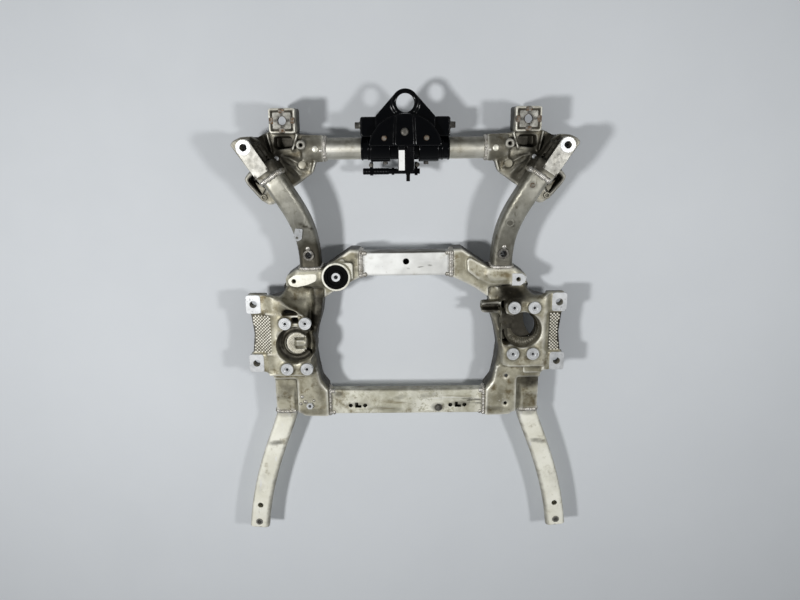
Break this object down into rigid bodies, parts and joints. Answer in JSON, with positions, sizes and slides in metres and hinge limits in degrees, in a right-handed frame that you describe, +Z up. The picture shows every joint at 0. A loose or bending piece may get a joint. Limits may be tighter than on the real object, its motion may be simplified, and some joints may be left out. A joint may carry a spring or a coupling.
{
  "type": "subframe",
  "caption": "Welded aluminium front subframe with cast corner nodes, bent arms and legs, crossbeams and a black eye bracket on its front tube, lying flat with its top side up.",
  "frame": {"origin": "middle of the footprint, on the floor it lies on", "axes": "+X across the car, +Y to the front of the car, where the eye bracket is, +Z up, out of the top side with the engine seats"},
  "size_m": [0.9508, 1.262, 0.19],
  "materials": {
    "cast_aluminium": "sand-cast, mottled",
    "tube_aluminium": "satin, stained",
    "weld_aluminium": "rippled weld bead",
    "machined_metal": "machined",
    "dark_steel": "dull",
    "rusty_steel": "rusted",
    "black_paint": "satin black",
    "black_rubber": "matt",
    "black_plastic": "matt",
    "white_label": "paper"
  },
  "bodies": {
    "root": {"front_casting_left": "cast_aluminium", "front_casting_right": "cast_aluminium", "mid_casting_left": "cast_aluminium", "mid_casting_right": "cast_aluminium", "front_tube": "tube_aluminium", "front_arm_left": "tube_aluminium", "front_arm_right": "tube_aluminium", "upper_crossbeam": "tube_aluminium", "lower_crossbeam": "tube_aluminium", "rear_leg_left": "tube_aluminium", "rear_leg_right": "tube_aluminium", "weld_front_tube": "weld_aluminium", "weld_arm_heads": "weld_aluminium", "weld_arm_feet": "weld_aluminium", "weld_upper_beam": "weld_aluminium", "weld_lower_beam": "weld_aluminium", "weld_legs": "weld_aluminium", "bush_inner_sleeve": "machined_metal", "arm_sleeves": "machined_metal", "arm_tab": "machined_metal", "leg_crush_sleeves": "machined_metal", "pad_rings": "machined_metal", "web_plugs": "machined_metal", "plate_nut": "machined_metal", "boss_inserts_left": "machined_metal", "boss_inserts_right": "machined_metal", "centre_bolt": "machined_metal", "module_pin": "machined_metal", "bush_outer_sleeve": "dark_steel", "beam_stud": "dark_steel", "side_bolts": "dark_steel", "saddle_bolts": "dark_steel", "bar_straps": "dark_steel", "flange_bolts": "rusty_steel", "eye_bracket": "black_paint", "bracket_base": "black_paint", "tube_saddles": "black_paint", "bush_rubber": "black_rubber", "tube_collars": "black_rubber", "control_module": "black_plastic", "conduit_bar": "black_plastic", "bar_clip": "black_plastic", "module_label": "white_label"}
  },
  "joints": []
}
